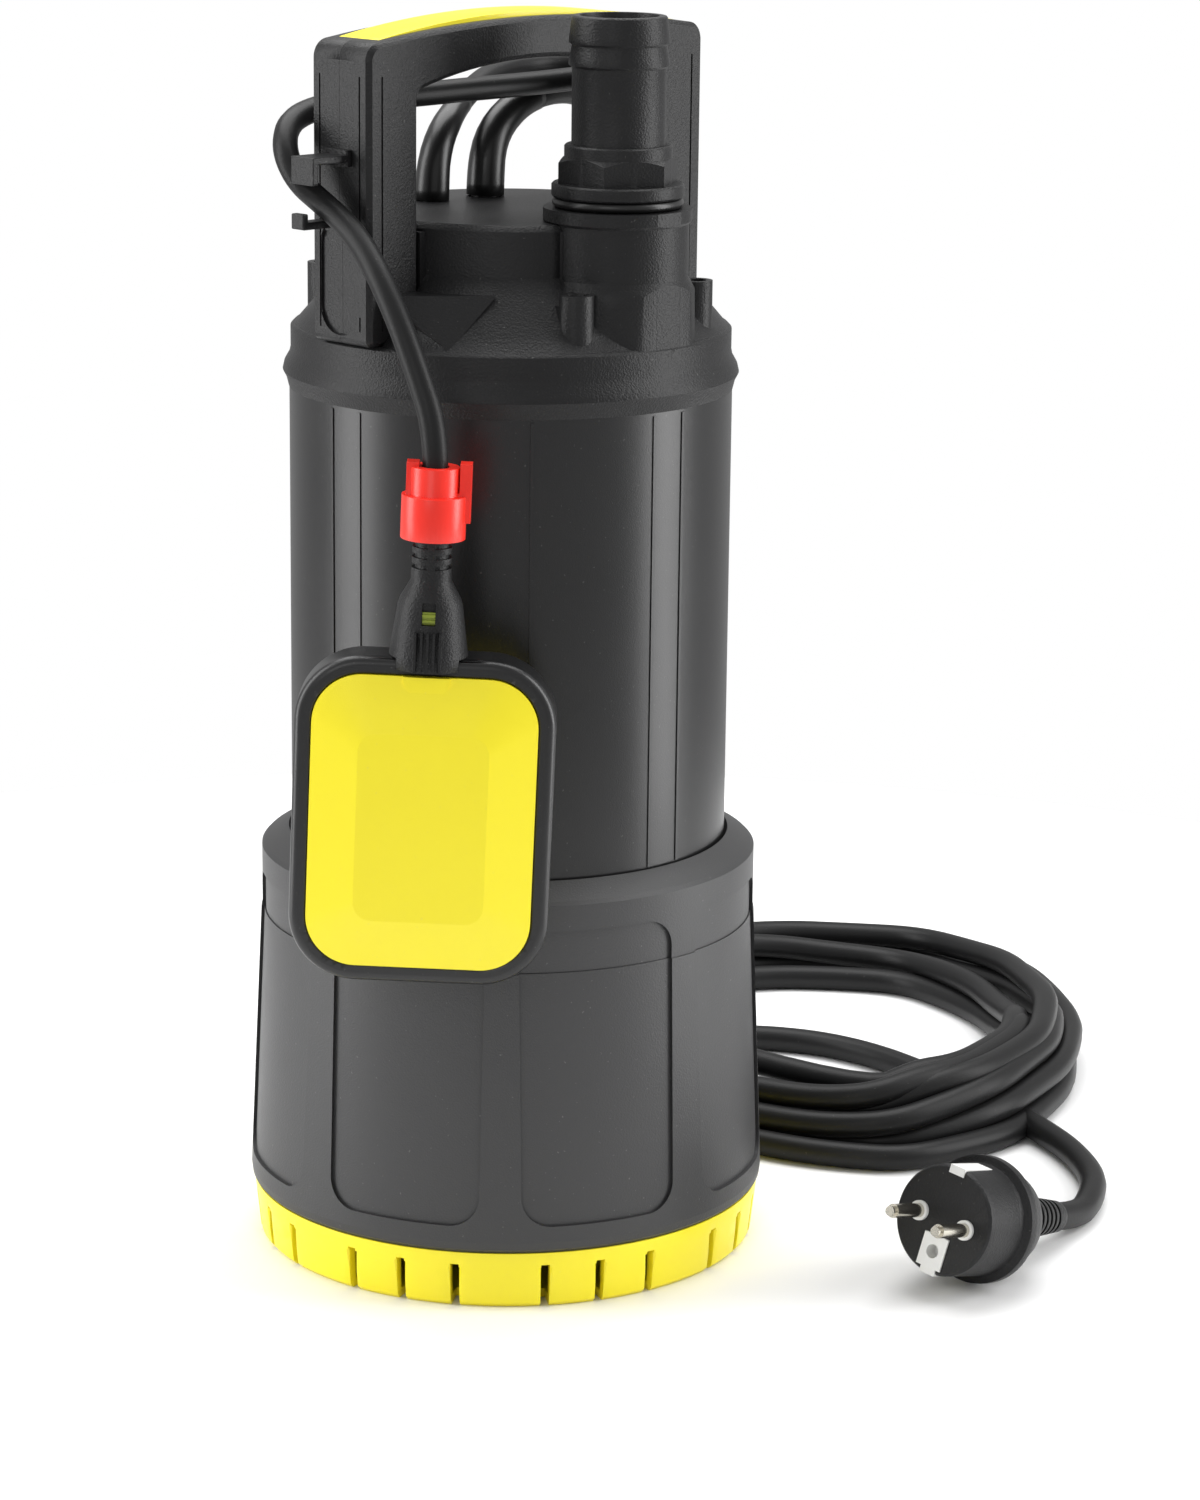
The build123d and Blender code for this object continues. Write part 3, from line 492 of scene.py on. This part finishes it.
FLOAT_ROUTE = [
    (-9, 30, 356), (-9, 30, 369), (-4, 32, 380), (6, 36.5, 387.5), (20, 44, 393), (36, 52.5, 396.8),
    (53, 59.5, 398.8), (71, 62, 399.3), (86, 55, 399.3), (91, 42, 399), (84, 30, 398.6),
    (70, 25.5, 398.2), (52, 24.5, 397.8), (31, 24.7, 397.2), (6, 25.2, 397), (-20, 25.4, 396.5),
    (-44, 26.2, 396.3), (-64, 26, 395), (-80, 21.8, 391.5), (-88.3, 14.5, 383.5), (-88, 8, 374),
    (-84.3, 1, 368), (-83.4, -11, 361.2), (-84.3, -20, 354.9), (-86.2, -30, 346),
    (-87.4, -39.5, 334.5), (-87.8, -48, 320.5), float_spot(0.3, 125), float_spot(0.15, 88),
    float_spot(0, 60),
]
float_line = centre_line(FLOAT_ROUTE)
float_cable = tube_mesh("float_cable", FLOAT_ROUTE, FLOAT_CABLE_R)
float_cable.data.materials.append(FINISHES["black_rubber_cable"])
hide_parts("float_cable_held", "float_cable_drop")
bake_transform(float_cable)
print("float cable", round(line_length(float_line), 3), "m")


# %% [markdown]
# ## Mains cable
# The mains cable rises from the second gland, drops behind the pump and lies in a loose pear-shaped coil.
# Its plug end is the lowest strand: it runs from behind the pump through the middle of the coil and out
# under the other strands. Each turn then lies between a small loop and a large loop, with its own size,
# shift and wobble, so the turns fan out. The cable is laid from the plug end, and every point's height is
# found by looking at what already lies under it.

# %% The coil's turns
MAINS_R = 4.9
COIL_TOP = 27.0             # no strand's centre lies higher than this
LARGE_LOOP = [(226, -190), (215, -135), (186, -76), (141, -50), (98, -66), (20, -116), (-95, -158),
              (-72, -205), (30, -292), (120, -336), (186, -326), (216, -262)]
SMALL_LOOP = [(176, -168), (172, -134), (150, -112), (124, -108), (94, -122), (20, -146), (-60, -168),
              (-50, -190), (40, -230), (100, -246), (144, -238), (168, -208)]
FIRST_STRAND = [(191, -104), (177, -128), (160, -152), (141, -176), (118, -192), (88, -198), (40, -192),
                (-10, -180), (-50, -170), (-80, -168)]
LOOP_STEPS = len(LARGE_LOOP)
FIRST_STEP = 6.4            # where the first strand ends and the loops start
TURN_SIZES = [0.80, 1.0, 0.62, 0.86, 0.40, 0.66, 0.30]
TURN_SHIFTS = [(0, 4), (0, 0), (6, 8), (-2, -4), (4, 14), (-8, 2), (2, 6)]


def smooth(share):
    """Eases a 0 to 1 share in and out."""
    return share * share * (3 - 2 * share)


def between(values, turns):
    """Value at a count of turns, eased from one turn's to the next."""
    low = min(int(turns), len(values) - 1)
    high = min(low + 1, len(values) - 1)
    share = smooth(turns - int(turns))
    return values[low] * (1 - share) + values[high] * share


def loop_point(turns):
    """Point on the coil after a count of turns, counted from the end behind the pump."""
    step = (FIRST_STEP + LOOP_STEPS * turns) % LOOP_STEPS
    low = int(step)
    high = (low + 1) % LOOP_STEPS
    share = step - low
    small = Vector(SMALL_LOOP[low]).lerp(Vector(SMALL_LOOP[high]), share)
    large = Vector(LARGE_LOOP[low]).lerp(Vector(LARGE_LOOP[high]), share)
    shift = Vector([between([s[axis] for s in TURN_SHIFTS], turns) for axis in (0, 1)])
    size = between(TURN_SIZES, turns) + 0.03 * sin(9.1 * turns + 1.0)
    return small.lerp(large, size) + shift * (0.5 - 0.5 * cos(2 * pi * turns))


def resting_height(place, laid):
    """Height at which a cable over a place rests on what is already laid."""
    height = MAINS_R + 0.1
    for before, after in zip(laid, laid[1:]):
        run = after.xy - before.xy
        share = max(0.0, min(1.0, (place - before.xy).dot(run) / max(run.length_squared, 1e-9)))
        gap = (place - before.xy - run * share).length
        if gap < 2 * MAINS_R:
            under = before.z + (after.z - before.z) * share
            height = max(height, under + sqrt((2 * MAINS_R) ** 2 - gap * gap))
    return height


def lay_coil(turn_count, per_turn):
    """The coil from the plug end inwards, in the camera's side and near directions."""
    flat = [Vector(p) for p in FIRST_STRAND]
    flat += [loop_point(count / per_turn) for count in range(1, round(turn_count * per_turn))]
    laid = []
    for place in flat:
        height = resting_height(place, laid[:-4])
        laid.append(Vector((place.x, place.y, min(height, COIL_TOP))))
    return laid


def relax(points, rounds):
    """Evens the heights along the cable, as a stiff cable bridges small hollows."""
    heights = [p.z for p in points]
    for _ in range(rounds):
        triples = zip(heights, heights[1:], heights[2:])
        middle = [max(b, 0.25 * a + 0.5 * b + 0.25 * c) for a, b, c in triples]
        heights = [heights[0], *middle, heights[-1]]
    return [Vector((p.x, p.y, min(z, COIL_TOP))) for p, z in zip(points, heights)]


COIL = relax(lay_coil(turn_count=5.75, per_turn=24), rounds=2)
print("coil points", len(COIL), "top", round(max(p.z for p in COIL), 1))

# %% Riser, coil and tail in one spline
RISER = [
    (14, 28, 356), (14, 28, 370), (18, 29, 380.5), (28, 31, 388), (42, 33, 392.5), (58, 36, 393.5),
    (76, 41, 390), (91, 47.5, 381), (100, 53, 364), (103, 57, 342), (103, 58.5, 316),
    (102.5, 60, 280), (101, 62, 240), (99.5, 65, 200), (98, 69, 160), (97, 75, 122), (97.5, 82, 90),
    (101, 87, 64), (107, 91, 46), (118, 90, 32),
]
PLUG_AT = diag(163.0, 56.0, 22.2) / MM
PLUG_AXIS = Vector((-0.960, -0.111, 0.255)).normalized()
TAIL = [diag(*p) / MM for p in
        [(199, -86, 5.1), (206.5, -68, 5.1), (211, -50, 5.1), (212.8, -31, 5.1), (209.5, -12, 5.1)]]
TAIL += [PLUG_AT - PLUG_AXIS * 67, PLUG_AT - PLUG_AXIS * 50]

MAINS_ROUTE = RISER + [diag(*p) / MM for p in reversed(COIL)] + TAIL
mains_cable = spline_curve("mains_cable", MAINS_ROUTE, MAINS_R * MM)
mains_cable.data.materials.append(FINISHES["black_rubber_cable"])
mains_line = centre_line(MAINS_ROUTE)
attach(mains_cable, "pump")
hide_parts("mains_riser", "mains_coil", "mains_tail")


# %% [markdown]
# ## Boots at the drum
# Each cable leaves the drum through a long rubber boot that bends with it and thins out along it, so that
# the cable never kinks at its root. The boot is a tube round the cable's own line, widest at the drum.

# %% Boots round the cables' roots
BOOT_LOW = 0.3585           # the drum's top, where a boot starts
RING_GAP = 0.0022


def boot(name, line, reach, root, tip):
    """A tapered tube round the first stretch of a line, from a root radius to a tip radius in millimetres."""
    line = [spot for spot in line if spot.z > BOOT_LOW]
    rings = [line[0]]
    for spot in line[1:]:
        if (spot - rings[-1]).length > RING_GAP:
            rings.append(spot)
        if line_length(rings) > reach * MM:
            break
    bm = bmesh.new()
    previous = None
    for count, spot in enumerate(rings):
        ahead = rings[min(count + 1, len(rings) - 1)] - rings[max(count - 1, 0)]
        turn = ahead.to_track_quat("Z", "X").to_matrix().to_4x4()
        turn.translation = spot
        share = count / (len(rings) - 1)
        radius = (root + (tip - root) * smooth(share)) * MM
        circle = bmesh.ops.create_circle(bm, cap_ends=False, segments=40, radius=radius, matrix=turn)
        ring = circle["verts"]
        if previous:
            both = previous + ring
            edges = {e for v in both for e in v.link_edges if len(e.link_faces) < 2}
            bmesh.ops.bridge_loops(bm, edges=[e for e in edges if e.verts[0] in both and e.verts[1] in both])
        previous = ring
    bmesh.ops.holes_fill(bm, edges=[e for e in bm.edges if e.is_boundary], sides=0)
    bmesh.ops.recalc_face_normals(bm, faces=bm.faces)
    mesh = bpy.data.meshes.new(name)
    bm.to_mesh(mesh)
    bm.free()
    for face in mesh.polygons:
        face.use_smooth = len(face.vertices) == 4
    mesh.materials.append(FINISHES["black_rubber"])
    piece = bpy.data.objects.new(name, mesh)
    bpy.context.collection.objects.link(piece)
    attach(piece, "pump")
    print(name, "rings", len(rings), "faces", len(mesh.polygons))
    return piece


float_boot = boot("float_cable_boot", float_line, 42, 5.9, 4.3)
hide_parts("float_cable_gland")
mains_boot = boot("mains_cable_boot", mains_line, 46, 6.5, 5.1)
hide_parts("mains_cable_gland")
